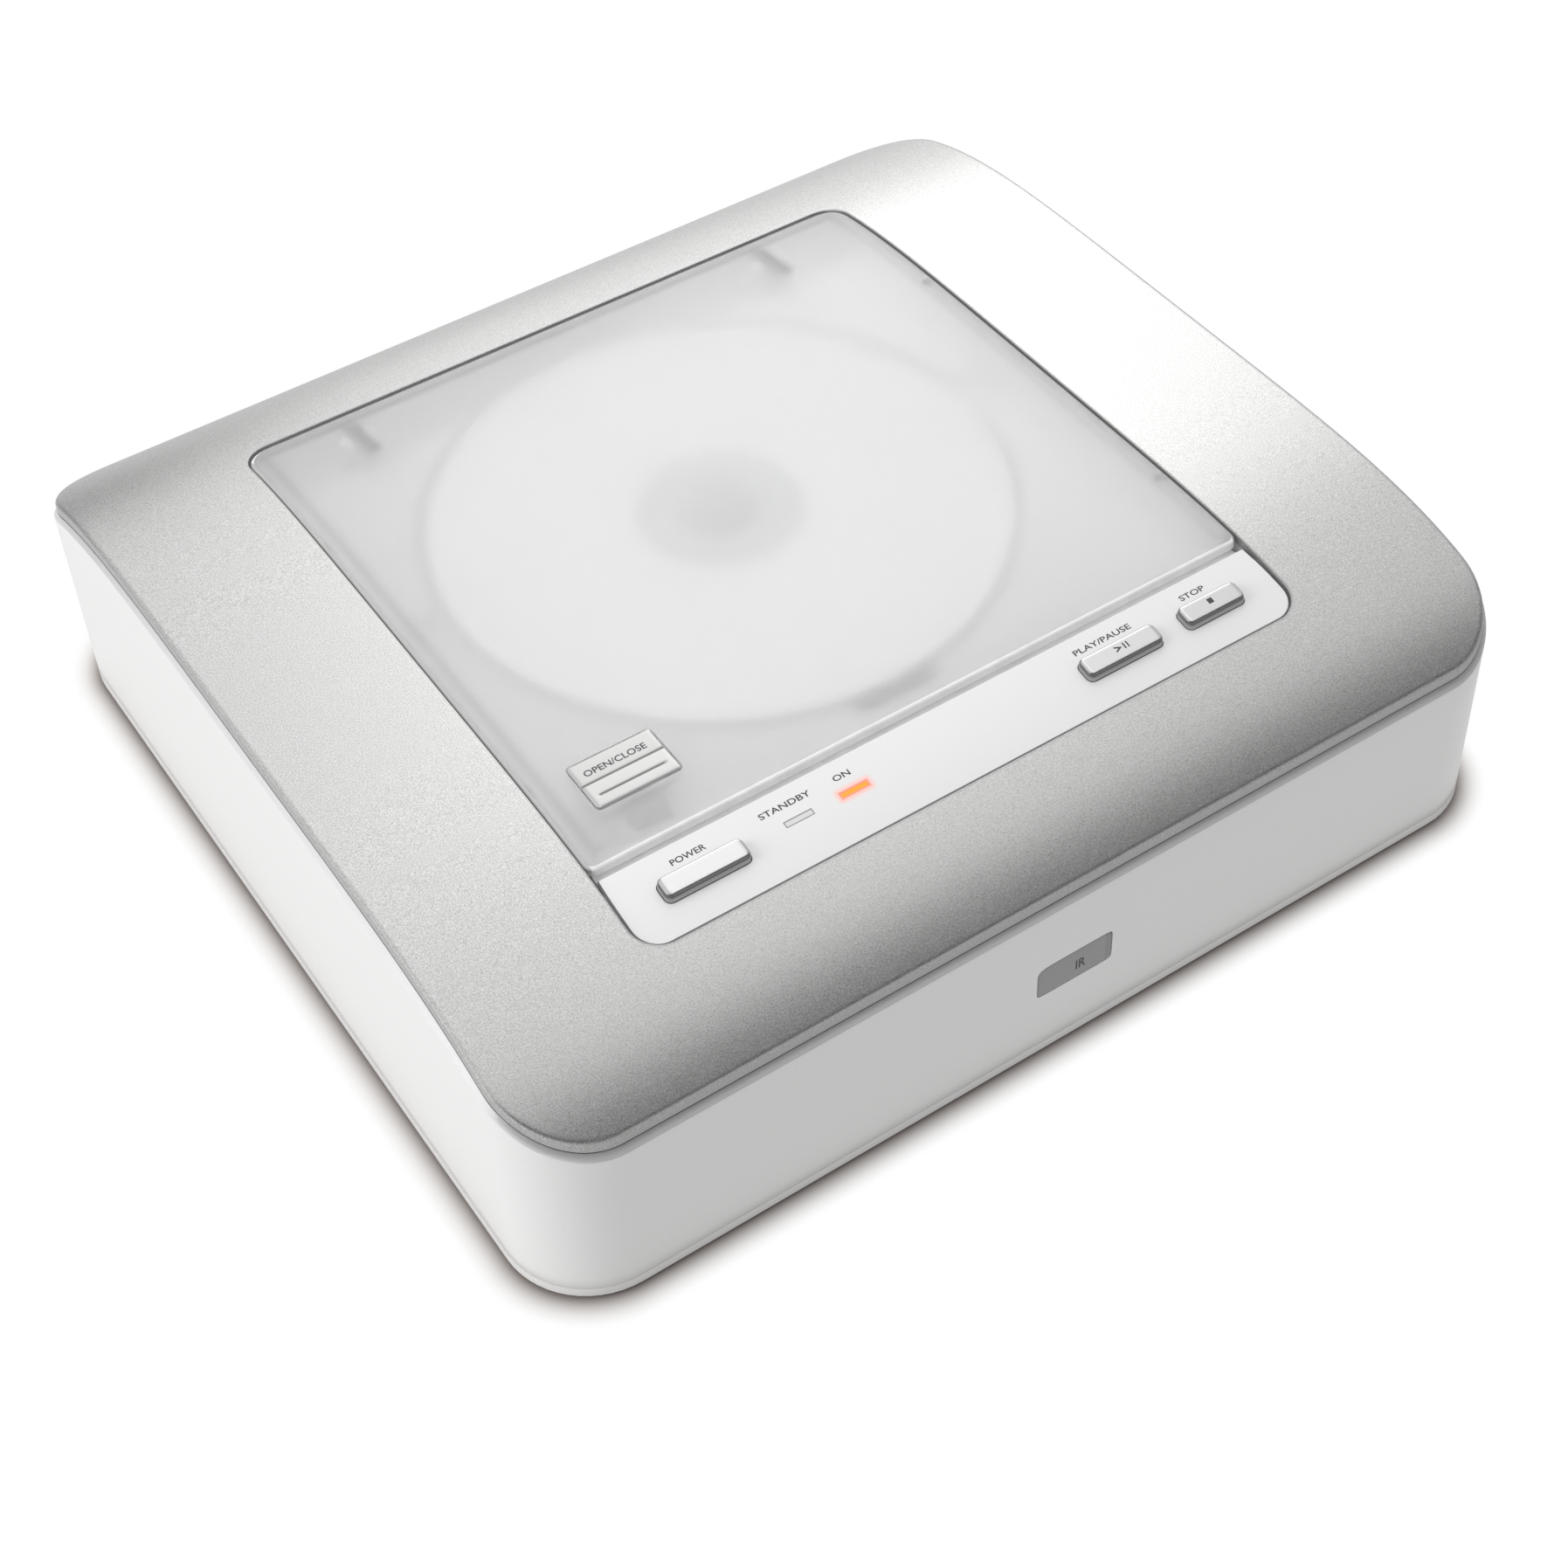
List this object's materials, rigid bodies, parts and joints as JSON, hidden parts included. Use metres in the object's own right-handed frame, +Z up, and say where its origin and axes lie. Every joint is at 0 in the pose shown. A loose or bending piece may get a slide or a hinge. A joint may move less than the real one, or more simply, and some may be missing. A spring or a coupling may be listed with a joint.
{
  "type": "top-loading disc player",
  "caption": "Compact white top-loading disc player with an arched silver cover, a frosted hinged lid over the disc, and a recessed row of push keys.",
  "frame": {"origin": "on the floor plane under the middle of the body", "axes": "+X to the right, +Y to the back where the hinge is, +Z up; the keys are toward -Y"},
  "size_m": [0.225, 0.214, 0.0597],
  "materials": {
    "cabinet": "gloss white",
    "base": "white",
    "trim": "satin silver paint",
    "cover": "silver sparkle paint",
    "deck": "white, fine grain",
    "panel": "gloss white",
    "lid": "frosted clear acrylic",
    "keys": "satin chrome plating",
    "grey_lens": "grey tinted",
    "amber_lens": "amber tinted",
    "smoked": "smoked grey",
    "clear_lens": "clear, coated",
    "grey_plastic": "grey moulded",
    "black_plastic": "black moulded",
    "white_plastic": "natural white moulded",
    "steel": "bright zinc plated",
    "rubber": "soft dark rubber",
    "damper": "soft brown rubber",
    "disc": "white printed label side",
    "copper": "enamelled copper windings",
    "brass": "nickel and brass contacts",
    "board": "green laminate",
    "chip": "black epoxy",
    "can": "blue sleeved cans",
    "led": "clear resin"
  },
  "bodies": {
    "housing": {"bottom_cover": "base", "feet": "rubber", "case_screws": "steel", "cabinet": "cabinet", "trim_ring": "trim", "top_cover": "cover", "deck": "deck", "button_panel": "panel", "standby_lens": "grey_lens", "on_lens": "amber_lens", "ir_window": "smoked", "ir_receiver": "board", "hinge_pins": "steel", "lid_bumpers": "rubber", "latch_housing": "grey_plastic", "key_board": "board", "tact_switches": "black_plastic", "indicator_leds": "led", "spindle_stator": "copper", "loader_frame": "steel", "loader_dampers": "damper", "loader_screws": "steel", "guide_rods": "steel", "sled_motor": "steel", "main_board": "board", "board_chips": "chip", "capacitors": "can", "power_board": "board", "transformer": "copper", "board_screws": "steel", "jack_panel": "black_plastic", "phono_sockets": "brass", "mains_inlet": "black_plastic"},
    "lid": {"lid": "lid", "hinge_arms": "white_plastic", "latch_tongue": "white_plastic"},
    "open_close_key": {"open_close_key": "keys"},
    "latch_slider": {"latch_slider": "white_plastic"},
    "power_button": {"power_button": "keys"},
    "play_pause_button": {"play_pause_button": "keys"},
    "stop_button": {"stop_button": "keys"},
    "turntable": {"disc": "disc", "turntable": "grey_plastic", "turntable_pad": "rubber", "hub_balls": "steel", "spindle_rotor": "steel"},
    "pickup_sled": {"pickup_sled": "black_plastic"},
    "objective_lens": {"objective_lens": "clear_lens"},
    "lead_screw": {"lead_screw": "steel"}
  },
  "joints": [
    {"name": "lid_hinge", "type": "hinge", "parent": "housing", "child": "lid", "pos_m": [0, 0.07, 0.05309], "axis": [-1, 0, 0], "range_deg": [0, 70]},
    {"name": "open_close_press", "type": "slide", "parent": "lid", "child": "open_close_key", "axis": [0, 0, -1], "range_m": [0, 0.001], "stiffness_N_per_m": 900},
    {"name": "latch_slide", "type": "slide", "parent": "housing", "child": "latch_slider", "axis": [0, 1, 0], "range_m": [0, 0.0012]},
    {"name": "power_press", "type": "slide", "parent": "housing", "child": "power_button", "axis": [0, 0, -1], "range_m": [0, 0.0006], "stiffness_N_per_m": 900},
    {"name": "play_pause_press", "type": "slide", "parent": "housing", "child": "play_pause_button", "axis": [0, 0, -1], "range_m": [0, 0.0006], "stiffness_N_per_m": 900},
    {"name": "stop_press", "type": "slide", "parent": "housing", "child": "stop_button", "axis": [0, 0, -1], "range_m": [0, 0.0006], "stiffness_N_per_m": 900},
    {"name": "disc_spin", "type": "hinge", "parent": "housing", "child": "turntable", "pos_m": [0, 0.01, 0.0498], "axis": [0, 0, 1], "continuous": true},
    {"name": "sled_slide", "type": "slide", "parent": "housing", "child": "pickup_sled", "axis": [0, -1, 0], "range_m": [0, 0.034]},
    {"name": "lens_focus", "type": "slide", "parent": "pickup_sled", "child": "objective_lens", "axis": [0, 0, 1], "range_m": [-0.0003, 0.0004], "stiffness_N_per_m": 60},
    {"name": "screw_spin", "type": "hinge", "parent": "housing", "child": "lead_screw", "pos_m": [0.033, 0, 0.04], "axis": [0, 1, 0], "range_deg": [-1, 4090]}
  ],
  "couplings": [
    {"joint": "latch_slide", "follows": "open_close_press", "ratio": 1.2},
    {"joint": "screw_spin", "follows": "sled_slide", "rad_per_m": 2094.4}
  ]
}
